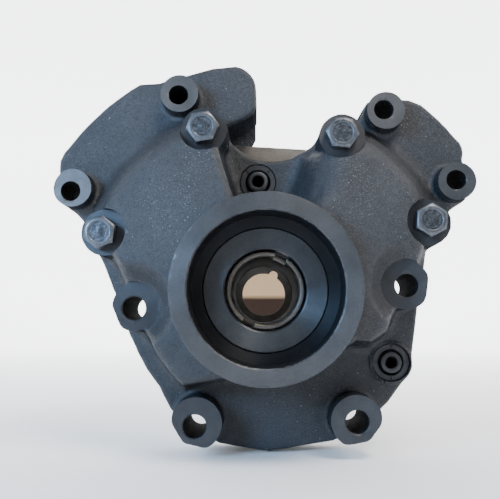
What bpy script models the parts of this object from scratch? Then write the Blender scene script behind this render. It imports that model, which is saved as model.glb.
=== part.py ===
"""Shaft-driven internal gear pump with a crescent, modelled as separate pieces.

The drive axis is the Y axis. The origin is on it, in the plane of the rear mounting face.
The seal ring faces -Y, +Z is up and +X is to the right as seen from the front.
Sizes below are in millimetres and are turned into metres where a mesh is made.
A depth is measured backwards (+Y) from the front face of the seal ring.
"""

import math

import bmesh
import bpy
from mathutils import Vector

MM = 0.001
GAP = 0.3  # clearance left between pieces that touch

# Depths along the drive axis
SEAL_FLOOR = 20.0
BEARING_BACK = 34.0
CHAMBER_FRONT = 44.0
JOINT = 68.0  # rear face of the housing: mounting face, and seat of the rear cover
COVER_STEP = 86.0
REAR_END = 105.0
WING_FACE = 38.0
FLANGE_FACE = 42.0
SADDLE_FACE = 46.0
DOME_FACE = 9.0
DOME_RIM = 17.0
PAD_FACE = 22.0
LOW_BOSS_FACE = 24.0
WING_BOSS_FACE = 27.0

# Sides of the many-sided outlines that stand for circles
RING_SIDES = 60
BORE_SIDES = 44
BOSS_SIDES = 20
HOLE_SIDES = 14

# Radii about the drive axis
RING_R = 50.0
SEAL_BORE_R = 40.5
BEARING_R = 34.0
BEARING_BORE_R = 22.5
SLEEVE_R = 21.6
SLEEVE_BORE_R = 18.5
WEB_BORE_R = 26.5
WING_R = 142.3
DOME_R = 97.0
COVER_R = 107.0
SPIGOT_R = 40.0
REAR_OPENING_R = 14.4

# Gear set: both gears share the module; the ring gear runs on a lower axis
MODULE = 3.5
PRESSURE_ANGLE = math.radians(25.0)
DRIVE_TEETH = 17
RING_TEETH = 23
RING_DROP = MODULE * (RING_TEETH - DRIVE_TEETH) / 2
DEDENDUM = 4.35
DRIVE_ADDENDUM = 3.3
RING_ADDENDUM = 2.9
BACKLASH = 0.5  # thinning of each tooth at its pitch circle
CHAMBER_R = 51.2
RING_GEAR_R = 50.7
GEAR_FRONT = 47.6
GEAR_BACK = 64.9
PLATE_BACK = GEAR_FRONT - GAP
REAR_PLATE_FRONT = GEAR_BACK + GAP

# Holes and bosses, as (x, z)
COVER_BOLTS = ((-34.4, 89.1), (-89.7, 31.3), (41.9, 85.4), (89.3, 37.5))
WING_HOLES = ((-49.1, 110.9), (-109.2, 55.9), (66.9, 101.9), (106.6, 61.7))
WING_BOSSES = ((-48.6, 111.7), (-108.2, 57.7), (68.2, 101.5), (107.2, 61.1))
# Lower bosses: hole, centre of the boss, its radius, and flats as (direction in degrees, reach from the hole)
LOW_BOSSES = (
    ((-72.0, -9.8), (-72.0, -9.3), 13.0, ((203.0, 10.5), (160.0, 12.4))),
    ((77.2, 2.6), (77.0, 2.8), 13.0, ((-8.0, 11.0),)),
    ((-38.4, -73.6), (-37.7, -72.0), 14.1, ((210.6, 9.8), (257.6, 9.9), (174.0, 13.2))),
    ((49.5, -71.1), (49.3, -70.7), 14.1, ((-38.0, 11.0), (-79.0, 10.9), (-1.0, 13.4))),
)
SPOT_FACE_R = 14.2  # around the two side bosses
DOWELS = (((-4.0, 64.8), SADDLE_FACE), ((71.8, -40.6), FLANGE_FACE))
BOLT_R = 5.0
BOLT_HOLE_R = 5.5
WING_HOLE_R = 5.5
LOW_HOLE_R = 6.5
WING_BOSS_R = 10.8
PAD_R = 12.6
DOWEL_FACE_R = 10.7
PIN_HOLE_R = 2.3
DOWEL_R = 6.1
DOWEL_BORE_R = 3.4
DOWEL_BACK = 84.0
BOLT_END = 80.0
HEAD_HEIGHT = 6.4

# Oil passages
CHANNEL_FRONT = 52.0
SUCTION_START = (-37.0, 44.0)
SUCTION_TURN = (-57.0, 78.5)
SUCTION_NECK = (-41.8, 100.0)  # between a cover bolt and a wing bolt hole
SUCTION_PORT = (-22.0, 113.5)
PRESSURE_START = (37.0, 48.0)
PRESSURE_TURN = (62.0, 65.0)
SUCTION_PORT_R = 11.0
PRESSURE_PORT = (89.0, 83.0)
PRESSURE_PORT_R = 10.0
KIDNEY_IN = 27.0
KIDNEY_OUT = 39.0

MATERIALS = {
    "cast_iron": ((0.075, 0.09, 0.11), 0.62, 0.85),
    "machined_iron": ((0.16, 0.17, 0.18), 0.4, 0.9),
    "bright_steel": ((0.5, 0.48, 0.44), 0.28, 1.0),
    "dark_steel": ((0.1, 0.11, 0.13), 0.42, 0.9),
    "zinc_steel": ((0.3, 0.32, 0.36), 0.35, 1.0),
    "bronze": ((0.42, 0.27, 0.12), 0.38, 1.0),
    "rubber": ((0.012, 0.012, 0.013), 0.7, 0.0),
}


def clear_scene():
    for thing in list(bpy.data.objects):
        bpy.data.objects.remove(thing, do_unlink=True)


def material(name):
    """The named finish as a Principled material, made once."""
    found = bpy.data.materials.get(name)
    if found:
        return found
    colour, roughness, metallic = MATERIALS[name]
    made = bpy.data.materials.new(name)
    made.use_nodes = True
    shader = made.node_tree.nodes["Principled BSDF"]
    shader.inputs["Base Color"].default_value = (*colour, 1.0)
    shader.inputs["Roughness"].default_value = roughness
    shader.inputs["Metallic"].default_value = metallic
    made.diffuse_color = (*colour, 1.0)
    return made


def place(x, z, depth):
    """A point given across, up and back, in metres about the origin."""
    return Vector((x * MM, (depth - JOINT) * MM, z * MM))


def arc(cx, cz, radius, start, end, steps):
    """Points along an arc from start to end degrees, both ends included."""
    points = []
    for i in range(steps + 1):
        a = math.radians(start + (end - start) * i / steps)
        points.append((cx + radius * math.cos(a), cz + radius * math.sin(a)))
    return points


def circle(cx, cz, radius, steps):
    return arc(cx, cz, radius, 0.0, 360.0 - 360.0 / steps, steps - 1)


def new_object(name, bm, finish=None):
    bmesh.ops.remove_doubles(bm, verts=bm.verts, dist=0.002 * MM)
    bmesh.ops.recalc_face_normals(bm, faces=bm.faces)
    mesh = bpy.data.meshes.new(name)
    bm.to_mesh(mesh)
    bm.free()
    thing = bpy.data.objects.new(name, mesh)
    bpy.context.scene.collection.objects.link(thing)
    if finish:
        mesh.materials.append(material(finish))
        mesh.shade_smooth()
        mesh.set_sharp_from_angle(angle=math.radians(32.0))
    return thing


def loft(name, sections, finish=None):
    """A closed solid through outlines of equal length, given as (outline, depth) pairs."""
    bm = bmesh.new()
    loops = [[bm.verts.new(place(x, z, d)) for x, z in outline] for outline, d in sections]
    count = len(loops[0])
    for near, far in zip(loops, loops[1:]):
        for i in range(count):
            j = (i + 1) % count
            bm.faces.new((near[i], near[j], far[j], far[i]))
    if len(sections) > 2:  # the sides of a tapered solid aren't flat, so they are split
        bmesh.ops.triangulate(bm, faces=bm.faces)
    bm.faces.new(loops[0])
    bm.faces.new(list(reversed(loops[-1])))
    return new_object(name, bm, finish)


def prism(name, outline, front, back, finish=None):
    return loft(name, [(outline, front), (outline, back)], finish)


def rod(name, centre, radius, front, back, steps=BOSS_SIDES, finish=None):
    return prism(name, circle(*centre, radius, steps), front, back, finish)


def turned(name, profile, steps=64, centre=(0.0, 0.0), finish=None):
    """A ring turned about a line along Y: the profile is a closed loop of (depth, radius)."""
    bm = bmesh.new()
    rings = []
    for i in range(steps):
        a = 2 * math.pi * i / steps
        c, s = math.cos(a), math.sin(a)
        rings.append([bm.verts.new(place(centre[0] + r * c, centre[1] + r * s, d)) for d, r in profile])
    count = len(profile)
    for i in range(steps):
        here, there = rings[i], rings[(i + 1) % steps]
        for k in range(count):
            m = (k + 1) % count
            bm.faces.new((here[k], here[m], there[m], there[k]))
    return new_object(name, bm, finish)


def combine(body, tool, operation):
    """Add one Boolean modifier, with its tool hidden from the render."""
    modifier = body.modifiers.new(tool.name, "BOOLEAN")
    modifier.operation = operation
    modifier.solver = "EXACT"
    modifier.object = tool
    tool.hide_render = True
    tool.display_type = "WIRE"


def join(body, *tools):
    for tool in tools:
        combine(body, tool, "UNION")


def cut(body, *tools):
    for tool in tools:
        combine(body, tool, "DIFFERENCE")


def involute(radius, base):
    """Angle swept by the involute of the base circle out to a radius."""
    if radius <= base:
        return 0.0
    pressure = math.acos(base / radius)
    return math.tan(pressure) - pressure


def gear_outline(teeth, inner, outer, half_at, turn=0.0, flank_steps=4):
    """Closed outline between two radii, where half_at(radius) is half the angle of the solid lobe."""
    points = []
    pitch = 2 * math.pi / teeth
    for tooth in range(teeth):
        middle = tooth * pitch + turn
        flank = [inner + (outer - inner) * k / flank_steps for k in range(flank_steps + 1)]
        rising = [(r, middle - half_at(r)) for r in flank]
        falling = [(r, middle + half_at(r)) for r in reversed(flank)]
        for r, a in rising + [(outer, middle)] + falling + [(inner, middle + pitch / 2)]:
            points.append((r * math.cos(a), r * math.sin(a)))
    return points


def drive_tooth(radius):
    """Half the tooth angle of the drive gear at a radius."""
    pitch_r = MODULE * DRIVE_TEETH / 2
    base = pitch_r * math.cos(PRESSURE_ANGLE)
    half = math.pi / (2 * DRIVE_TEETH) - BACKLASH / (2 * pitch_r)
    return half + involute(pitch_r, base) - involute(max(radius, base), base)


def ring_space(radius):
    """Half the angle of the ring gear's tooth space at a radius."""
    pitch_r = MODULE * RING_TEETH / 2
    base = pitch_r * math.cos(PRESSURE_ANGLE)
    half = math.pi / (2 * RING_TEETH) + BACKLASH / (2 * pitch_r)
    return half + involute(pitch_r, base) - involute(max(radius, base), base)


def clipped(outline, centre, direction, reach):
    """The part of an outline that lies no farther than reach from a centre, along a direction."""
    a = math.radians(direction)
    beyond = [(x - centre[0]) * math.cos(a) + (z - centre[1]) * math.sin(a) - reach for x, z in outline]
    kept = []
    for i, here in enumerate(outline):
        before = outline[i - 1]
        if (beyond[i] > 0) != (beyond[i - 1] > 0):
            t = beyond[i - 1] / (beyond[i - 1] - beyond[i])
            kept.append((before[0] + (here[0] - before[0]) * t, before[1] + (here[1] - before[1]) * t))
        if beyond[i] <= 0:
            kept.append(here)
    return kept


def flange_outline():
    """Outline of the mounting flange below the wings, with the bowl of the saddle at its top."""
    right = [(92.5, 40.0), (92.3, 19.0), (91.5, 8.0), (88.0, -8.0), (87.2, -15.0), (85.2, -29.4), (84.2, -37.0)]
    right += [(82.9, -44.9), (78.9, -51.3), (69.8, -63.4), (60.0, -73.0), (38.6, -84.8)]
    low = [(23.5, -87.3), (9.2, -89.7), (2.1, -90.7), (-12.2, -88.7), (-26.0, -86.3), (-36.0, -82.0)]
    left = [(-50.0, -72.0), (-54.3, -66.8), (-57.7, -60.5), (-60.8, -54.5), (-68.0, -45.0), (-73.5, -34.8)]
    left += [(-78.5, -24.3), (-83.0, -10.0), (-88.1, 1.5), (-92.5, 12.6), (-95.4, 18.7), (-97.0, 24.0)]
    bowl = [(-90.0, 52.0), (-60.0, 84.0), (-24.0, 92.0), (-19.5, 88.2), (-14.7, 84.1), (-10.0, 80.8)]
    bowl += [(-4.7, 78.6), (0.6, 77.5), (5.9, 77.4), (11.2, 77.9), (16.5, 79.4), (21.8, 82.1), (27.2, 85.3)]
    return right + low + left + bowl + [(32.5, 90.0), (60.0, 90.0), (86.0, 62.0)]


def lobe_tip():
    """Round inner end that the left wing and its deep lobe share."""
    slope = [(-45.8, 126.8), (-37.5, 129.2), (-30.3, 131.1)]
    return slope + arc(-19.3, 118.6, 14.0, 80.0, 0.0, 6) + [(-5.4, 107.5), (-7.0, 103.8), (-11.5, 100.6)]


def left_wing_outline():
    corners = [(-78.0, 27.0), (-96.0, 27.5), (-104.8, 40.2), (-112.0, 48.0), (-119.4, 60.0), (-119.8, 71.1)]
    corners += [(-119.5, 76.3), (-117.5, 80.9)] + arc(0, 0, WING_R, 143.0, 121.0, 8)
    corners += [(-62.0, 122.6), (-54.0, 125.0)] + lobe_tip()
    return corners + [(-22.0, 95.8), (-22.0, 84.0), (-40.0, 66.0)]


def right_wing_outline():
    corners = [(42.0, 62.0), (32.5, 80.0), (40.5, 89.5), (54.4, 98.8), (57.0, 104.0), (60.0, 110.0)]
    corners += [(66.0, 112.2), (80.0, 112.2), (84.4, 111.8)] + arc(0, 0, WING_R, 50.0, 39.0, 4)
    corners += [(113.4, 86.4), (114.8, 83.3), (115.2, 79.8), (114.6, 76.4), (117.0, 62.0), (115.0, 53.1)]
    return corners + [(106.4, 46.3), (99.0, 27.0), (80.0, 24.0)]


def lobe_outline():
    """The deep block at the inner end of the left wing, which carries the suction port."""
    return [(-60.0, 104.0), (-60.0, 120.5)] + lobe_tip() + [(-22.5, 96.3), (-36.0, 98.0)]


def dome_outlines():
    """Front rim and foot of the raised dome, point for point."""
    rim = []
    foot = []

    def both(points, grown):
        rim.extend(points)
        foot.extend(grown)

    both(arc(0, 0, DOME_R, 110.0, 160.0, 8), arc(0, 0, 119.0, 112.0, 157.0, 8))
    both([(-80.0, 16.0), (-72.0, 2.0), (-66.5, -14.0)], [(-87.5, 12.0), (-82.0, -3.0), (-75.0, -22.0)])
    both(arc(0, 0, 67.0, -160.0, -131.0, 4), arc(0, 0, 73.0, -155.0, -129.0, 4))
    both([(-23.0, -47.0), (0.0, -46.0), (30.0, -38.0)], [(-18.0, -48.0), (0.0, -46.5), (30.0, -38.5)])
    both([(47.5, -27.0), (56.0, -27.5), (64.0, -22.0)], [(46.0, -33.0), (59.0, -34.0), (70.0, -27.0)])
    both([(68.5, -10.0), (76.0, 6.0), (84.0, 22.0)], [(77.0, -14.0), (88.0, 6.0), (92.0, 18.0)])
    both(arc(0, 0, DOME_R, 24.0, 62.0, 7), arc(0, 0, 119.0, 27.0, 59.0, 7))
    both([(30.0, 74.0), (20.0, 46.0)], [(24.0, 80.0), (12.0, 48.0)])
    both([(-16.0, 46.0), (-26.5, 78.0)], [(-13.0, 46.0), (-23.0, 80.0)])
    return rim, foot


def sector(inner, outer, start, end, steps):
    """Kidney outline between two radii about the drive axis."""
    return arc(0, 0, outer, start, end, steps) + arc(0, 0, inner, end, start, steps)


def strip(start, end, half_width, steps=6):
    """Round-ended slot outline from one point to another."""
    along = math.degrees(math.atan2(end[1] - start[1], end[0] - start[0]))
    far = arc(*end, half_width, along - 90, along + 90, steps)
    near = arc(*start, half_width, along + 90, along + 270, steps)
    return far + near


def housing_solids():
    """The cast shapes that are joined to the housing's flange."""
    rim, foot = dome_outlines()
    inner_rim = [(x * 0.55, z * 0.55) for x, z in rim]
    yield prism("left_wing", left_wing_outline(), WING_FACE, JOINT)
    yield prism("right_wing", right_wing_outline(), WING_FACE + 0.5, JOINT)
    yield prism("lobe", lobe_outline(), WING_FACE + 0.8, REAR_END)
    yield loft("dome", [(inner_rim, DOME_FACE), (rim, DOME_RIM), (foot, SADDLE_FACE + 4.0)])
    yield rod("seal_ring", (0, 0), RING_R, 0.0, CHAMBER_FRONT, RING_SIDES)
    for i, centre in enumerate(WING_BOSSES):
        yield rod(f"wing_boss_{i}", centre, WING_BOSS_R, WING_BOSS_FACE, JOINT - 1.0)
    for i, centre in enumerate(COVER_BOLTS):
        yield rod(f"bolt_pad_{i}", centre, PAD_R, PAD_FACE, JOINT - 1.5)
    for i, (hole, centre, radius, flats) in enumerate(LOW_BOSSES):
        outline = circle(*centre, radius, BOSS_SIDES)
        for direction, reach in flats:
            outline = clipped(outline, hole, direction, reach)
        yield prism(f"low_boss_{i}", outline, LOW_BOSS_FACE, JOINT - 1.0)
    yield rod("low_dowel_boss", DOWELS[1][0], 12.0, FLANGE_FACE - 1.5, JOINT - 1.0)


def housing_cuts():
    """Machined and cored spaces of the housing."""
    for i, (_, centre, _, _) in enumerate(LOW_BOSSES[:2]):
        yield rod(f"spot_face_{i}", centre, SPOT_FACE_R, -5.0, LOW_BOSS_FACE)
    for i, centre in enumerate(COVER_BOLTS):
        yield rod(f"pad_face_{i}", centre, PAD_R + 0.6, -5.0, PAD_FACE)
        yield rod(f"bolt_hole_{i}", centre, BOLT_HOLE_R, -5.0, JOINT + 5.0, HOLE_SIDES)
    for i, centre in enumerate(WING_HOLES):
        yield rod(f"wing_hole_{i}", centre, WING_HOLE_R, -5.0, REAR_END + 5.0, HOLE_SIDES)
    for i, (hole, _, _, _) in enumerate(LOW_BOSSES):
        yield rod(f"low_hole_{i}", hole, LOW_HOLE_R, -5.0, JOINT + 5.0, HOLE_SIDES)
    for i, (centre, face) in enumerate(DOWELS):
        yield rod(f"dowel_face_{i}", centre, DOWEL_FACE_R, face - 10.0, face + 0.8)
        yield rod(f"dowel_hole_{i}", centre, DOWEL_R + 1.1, -5.0, JOINT + 5.0, HOLE_SIDES)
    yield rod("seal_seat", (0, 0), SEAL_BORE_R, -5.0, SEAL_FLOOR, RING_SIDES)
    yield rod("bearing_seat", (0, 0), BEARING_R + GAP, 10.0, BEARING_BACK, RING_SIDES)
    yield rod("web_bore", (0, 0), WEB_BORE_R, 15.0, JOINT - 5.0, BORE_SIDES)
    yield rod("chamber", (0, -RING_DROP), CHAMBER_R, CHAMBER_FRONT, JOINT + 5.0, RING_SIDES)
    closed = JOINT - 4.0
    yield prism("suction_gallery", strip(SUCTION_START, SUCTION_TURN, 8.0), CHANNEL_FRONT, JOINT + 5.0)
    yield prism("suction_neck", strip(SUCTION_TURN, SUCTION_NECK, 5.0, 3), CHANNEL_FRONT + 0.5, closed)
    yield prism("suction_channel", strip(SUCTION_NECK, SUCTION_PORT, 4.5, 3), CHANNEL_FRONT + 1.0, closed - 0.6)
    yield rod("suction_port", SUCTION_PORT, SUCTION_PORT_R, CHANNEL_FRONT - 2.0, REAR_END + 5.0)
    yield prism("pressure_channel", strip(PRESSURE_TURN, PRESSURE_PORT, 7.0), CHANNEL_FRONT + 0.5, closed)
    yield prism("pressure_gallery", strip(PRESSURE_START, PRESSURE_TURN, 8.4), CHANNEL_FRONT, JOINT + 5.0)
    yield rod("pressure_port", PRESSURE_PORT, PRESSURE_PORT_R, CHANNEL_FRONT - 2.0, JOINT + 5.0)
    groove = [(JOINT - 1.8, 11.6), (JOINT - 1.8, 14.6), (JOINT + 2.0, 14.6), (JOINT + 2.0, 11.6)]
    yield turned("pressure_seal_groove", groove, 28, PRESSURE_PORT)


def build_housing():
    body = prism("pump_housing", flange_outline(), FLANGE_FACE, JOINT, "cast_iron")
    join(body, *housing_solids())
    cut(body, *housing_cuts())
    return body


def cover_outline():
    """Outline of the rear cover: an arc in each wing, a flat top and a round lower body."""
    corners = arc(0, 0, COVER_R, 105.0, 161.0, 9)
    corners += [(-88.0, 20.0), (-70.0, 12.0)]
    corners += arc(0, -RING_DROP, 61.5, 160.0, 380.0, 18)
    corners += [(72.0, 20.0), (90.0, 25.0)]
    corners += arc(0, 0, COVER_R, 18.0, 66.0, 8)
    corners += [(28.0, 90.4), (-19.5, 93.4)]
    return corners


def build_rear_cover():
    front = JOINT + GAP
    body = prism("rear_cover", cover_outline(), front, COVER_STEP, "machined_iron")
    join(body, rod("spigot", (0, 0), SPIGOT_R, COVER_STEP - 4.0, REAR_END, BORE_SIDES))
    clearance = prism("lobe_clearance", strip((-19.0, 108.5), (-50.0, 111.5), 14.2), front - 5, REAR_END)
    cut(body, clearance)
    for i, centre in enumerate(WING_BOSSES):
        cut(body, rod(f"cover_relief_{i}", centre, 13.0, front - 5.0, REAR_END, BOSS_SIDES))
    cut(body, rod("bush_seat", (0, 0), 25.5 + GAP, front - 5.0, 98.0, BORE_SIDES))
    notch = prism("rear_notch", ((4.2, 15.6), (9.7, 12.9), (7.0, 9.3), (3.0, 11.2)), 90.0, 110.0)
    cut(body, rod("rear_opening", (0, 0), REAR_OPENING_R, 90.0, 110.0, 36), notch)
    cut(body, prism("suction_kidney", sector(KIDNEY_IN, KIDNEY_OUT, 112.0, 200.0, 12), front - 5, front + 9))
    cut(body, prism("pressure_kidney", sector(KIDNEY_IN, KIDNEY_OUT, -20.0, 66.0, 12), front - 5, front + 9))
    cut(body, prism("suction_link", strip((-24.0, 28.0), SUCTION_START, 7.0), front - 5, front + 8.6))
    cut(body, prism("pressure_link", strip((25.0, 27.0), PRESSURE_START, 7.0), front - 5, front + 8.6))
    for i, centre in enumerate(COVER_BOLTS):
        cut(body, rod(f"tapped_hole_{i}", centre, BOLT_R + GAP, front - 5.0, BOLT_END + 2.5, HOLE_SIDES))
    (upper_dowel, _), _ = DOWELS
    cut(body, rod("cover_dowel_hole", upper_dowel, DOWEL_R + GAP, front - 5.0, DOWEL_BACK + 5.0, HOLE_SIDES))
    for i, centre in enumerate(crescent_pin_places()):
        cut(body, rod(f"cover_pin_hole_{i}", centre, PIN_HOLE_R, front - 5.0, 75.0, 12))
    ring = [(95.5, 37.4), (98.5, 37.4), (98.5, SPIGOT_R + 3), (95.5, SPIGOT_R + 3)]
    cut(body, turned("spigot_groove", ring, BORE_SIDES))
    return body


def crescent_pin_places():
    """The two pins that hold the crescent, on its middle line."""
    places = []
    for angle in (-108.0, -72.0):
        a = math.radians(angle)
        places.append((40.0 * math.cos(a), 40.0 * math.sin(a)))
    return places


def build_crescent():
    """Filler between the gears: one arc clears the drive gear's tips, the other the ring gear's."""
    inner_r = MODULE * DRIVE_TEETH / 2 + DRIVE_ADDENDUM + GAP
    outer_r = MODULE * RING_TEETH / 2 - RING_ADDENDUM - GAP
    outline = arc(0, -RING_DROP, outer_r, -150.0, -30.0, 20)
    outline += arc(0, 0, inner_r, -27.0, -153.0, 20)
    body = prism("crescent", outline, GEAR_FRONT, GEAR_BACK, "bronze")
    for i, centre in enumerate(crescent_pin_places()):
        cut(body, rod(f"crescent_hole_{i}", centre, PIN_HOLE_R, 55.0, GEAR_BACK + 5.0, 12))
    return body


def build_gears():
    pitch_r = MODULE * DRIVE_TEETH / 2
    teeth = gear_outline(
        DRIVE_TEETH, pitch_r - DEDENDUM, pitch_r + DRIVE_ADDENDUM, drive_tooth, math.radians(90.0)
    )
    gear = prism("drive_gear", teeth, GEAR_FRONT, GEAR_BACK, "bright_steel")
    cut(gear, rod("gear_bore", (0, 0), SLEEVE_R + GAP, GEAR_FRONT - 5, GEAR_BACK + 5, BORE_SIDES))

    pitch_r = MODULE * RING_TEETH / 2
    spaces = gear_outline(
        RING_TEETH, pitch_r - RING_ADDENDUM, pitch_r + DEDENDUM, ring_space, math.radians(90.0)
    )
    ring = rod("ring_gear", (0, 0), RING_GEAR_R, GEAR_FRONT, GEAR_BACK, RING_SIDES, "bright_steel")
    cut(ring, prism("ring_spaces", spaces, GEAR_FRONT - 5.0, GEAR_BACK + 5.0))
    axis = bpy.data.objects.new("ring_gear_axis", None)
    bpy.context.scene.collection.objects.link(axis)
    axis.location = place(0, -RING_DROP, JOINT)
    for thing in bpy.data.objects:
        if thing.name in ("ring_gear", "ring_spaces"):
            thing.parent = axis


def build_sleeve():
    """Drive sleeve: a tube with two open drive slots across its front end."""
    front, back = 26.0, 95.0
    profile = [(front, SLEEVE_BORE_R + 0.9), (front, SLEEVE_R - 0.5), (front + 0.5, SLEEVE_R)]
    profile += [(back, SLEEVE_R), (back, SLEEVE_BORE_R), (front + 0.9, SLEEVE_BORE_R)]
    sleeve = turned("drive_sleeve", profile, BORE_SIDES, finish="bright_steel")
    for i, angle in enumerate((65.0, 242.0)):
        a = math.radians(angle)
        out = Vector((math.cos(a), math.sin(a)))
        side = Vector((-out.y, out.x)) * 3.6
        corners = (out * 14 + side, out * 26 + side, out * 26 - side, out * 14 - side)
        cut(sleeve, prism(f"drive_slot_{i}", [tuple(c) for c in corners], front - 5.0, front + 13.0))
    return sleeve


def build_side_plates():
    """Thin wear plates on both faces of the gears, the rear one with the kidney windows."""
    plates = (
        ("front_side_plate", CHAMBER_FRONT + GAP, PLATE_BACK),
        ("rear_side_plate", REAR_PLATE_FRONT, JOINT),
    )
    for name, front, back in plates:
        plate = rod(name, (0, -RING_DROP), RING_GEAR_R, front, back, RING_SIDES, "bronze")
        cut(plate, rod(f"{name}_bore", (0, 0), BEARING_BORE_R, front - 5, back + 5, BORE_SIDES))
        for side, start, end in (("suction", 118.0, 200.0), ("pressure", -20.0, 62.0)):
            window = sector(KIDNEY_IN + 0.6, KIDNEY_OUT - 0.6, start, end, 10)
            cut(plate, prism(f"{name}_{side}", window, front - 5, back + 5))
        if name == "rear_side_plate":
            for i, centre in enumerate(crescent_pin_places()):
                cut(plate, rod(f"plate_pin_hole_{i}", centre, PIN_HOLE_R, front - 5, back + 5, 12))


def build_bearings():
    ring = [(SEAL_FLOOR, BEARING_BORE_R + 0.5), (SEAL_FLOOR, BEARING_R - 0.4), (SEAL_FLOOR + 0.4, BEARING_R)]
    ring += [(BEARING_BACK - GAP, BEARING_R), (BEARING_BACK - GAP, BEARING_BORE_R)]
    ring += [(SEAL_FLOOR + 0.5, BEARING_BORE_R)]
    turned("front_bearing_ring", ring, RING_SIDES, finish="dark_steel")
    bush = [(70.0, SLEEVE_R + GAP), (70.0, 25.5), (97.0, 25.5), (97.0, SLEEVE_R + GAP)]
    turned("rear_bearing_bush", bush, BORE_SIDES, finish="bronze")
    clip = [(40.0, SLEEVE_R + GAP), (40.0, 25.0), (41.8, 25.0), (41.8, SLEEVE_R + GAP)]
    turned("sleeve_retaining_ring", clip, 36, finish="dark_steel")


def torus(name, centre, radius, depth, section, steps=28, sides=6):
    profile = []
    for i in range(sides):
        a = 2 * math.pi * i / sides
        profile.append((depth + section * math.sin(a), radius + section * math.cos(a)))
    turned(name, profile, steps, centre, "rubber")


def build_seals():
    torus("spigot_o_ring", (0, 0), SPIGOT_R - 0.9, 97.0, 1.2, BORE_SIDES)
    torus("pressure_port_seal", PRESSURE_PORT, 13.1, JOINT - 0.5, 1.2)


def build_bolts():
    """Hexagon cover bolts, each with a washer face under its head."""
    for i, centre in enumerate(COVER_BOLTS, 1):
        under = PAD_FACE - GAP
        bolt = rod(f"cover_bolt_{i}", centre, BOLT_R, under - 2.0, BOLT_END, HOLE_SIDES, "zinc_steel")
        hexagon = circle(*centre, 8.0 / math.cos(math.pi / 6), 6)
        top = under - HEAD_HEIGHT - 0.7
        head = prism(f"bolt_head_{i}", hexagon, top, under - 0.4)
        chamfer = turned(
            f"bolt_chamfer_{i}",
            [(top - 3.0, 7.3), (top - 3.0, 13.0), (top + 1.8, 13.0), (top + 1.8, 9.9), (top, 7.3)],
            18,
            centre,
        )
        face = rod(f"bolt_face_{i}", centre, 7.6, under - 1.0, under, 18)
        join(bolt, head, face)
        cut(bolt, chamfer)


def build_pins():
    for i, (centre, face) in enumerate(DOWELS, 1):
        back = DOWEL_BACK if i == 1 else JOINT - 1.0
        tube = [(face - 2.0, DOWEL_BORE_R), (face - 2.0, DOWEL_R - 0.7), (face - 1.3, DOWEL_R)]
        tube += [(back, DOWEL_R), (back, DOWEL_BORE_R)]
        turned(f"dowel_sleeve_{i}", tube, 20, centre, "dark_steel")
    for i, centre in enumerate(crescent_pin_places(), 1):
        rod(f"crescent_pin_{i}", centre, 2.0, 56.0, 74.0, 12, "bright_steel")


def build_pump():
    clear_scene()
    build_housing()
    build_rear_cover()
    build_crescent()
    build_gears()
    build_sleeve()
    build_side_plates()
    build_bearings()
    build_seals()
    build_bolts()
    build_pins()


build_pump()
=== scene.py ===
import math

import bmesh
import bpy
import numpy as np
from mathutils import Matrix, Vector


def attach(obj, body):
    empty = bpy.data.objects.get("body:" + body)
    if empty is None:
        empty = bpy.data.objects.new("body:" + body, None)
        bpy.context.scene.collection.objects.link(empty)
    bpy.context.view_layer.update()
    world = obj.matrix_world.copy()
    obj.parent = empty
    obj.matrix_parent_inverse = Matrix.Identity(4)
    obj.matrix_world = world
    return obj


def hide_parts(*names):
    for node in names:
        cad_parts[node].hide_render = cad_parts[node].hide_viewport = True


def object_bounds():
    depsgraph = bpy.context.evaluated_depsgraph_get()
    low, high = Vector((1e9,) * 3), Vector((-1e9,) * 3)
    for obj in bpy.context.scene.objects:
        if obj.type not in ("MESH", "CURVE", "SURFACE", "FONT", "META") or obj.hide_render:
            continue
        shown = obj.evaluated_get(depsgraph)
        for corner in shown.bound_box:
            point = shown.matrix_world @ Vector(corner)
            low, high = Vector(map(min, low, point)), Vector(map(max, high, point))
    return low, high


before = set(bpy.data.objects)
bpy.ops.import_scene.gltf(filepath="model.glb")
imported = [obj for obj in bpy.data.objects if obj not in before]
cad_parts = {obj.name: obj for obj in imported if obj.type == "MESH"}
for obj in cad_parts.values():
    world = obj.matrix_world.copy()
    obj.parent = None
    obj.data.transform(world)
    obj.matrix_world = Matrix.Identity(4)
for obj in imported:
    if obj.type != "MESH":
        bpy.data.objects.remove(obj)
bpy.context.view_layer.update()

MM = 0.001
PUMP = "pump_body"

# ---------------------------------------------------------------- sizes, in millimetres
# The frame's origin is on the drive axis in the rear mounting plane; a depth d counts
# backwards from the front of the seal ring, so y = d - JOINT.
JOINT = 68.0
REAR_END = 105.0
RING_R = 50.0
SEAL_BORE_R = 40.5
SEAL_FLOOR = 20.0
BEARING_R = 34.3
BEARING_BACK = 34.0
WEB_R = 26.5
CHAMBER_FRONT = 44.0
CHAMBER_R = 51.2
RING_DROP = 10.5
WING_FACE = 38.0
FLANGE_FACE = 42.0
SADDLE_FACE = 46.0
DOME_FACE = 9.0
DOME_RIM = 17.0
DOME_FOOT = 50.0
WING_R = 142.3
DOME_R = 97.0
PAD_FACE = 22.0
PAD_R = 12.6
M10_HOLE_R = 5.5
LOW_BOSS_FACE = 24.0
WING_BOSS_FACE = 27.0
WING_HOLES = ((-49.1, 110.9), (-109.2, 55.9), (66.9, 101.9), (106.6, 61.7))
WING_BOSSES = ((-48.6, 111.7), (-108.2, 57.7), (68.2, 101.5), (107.2, 61.1))
WING_BOSS_R = 10.8
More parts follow.
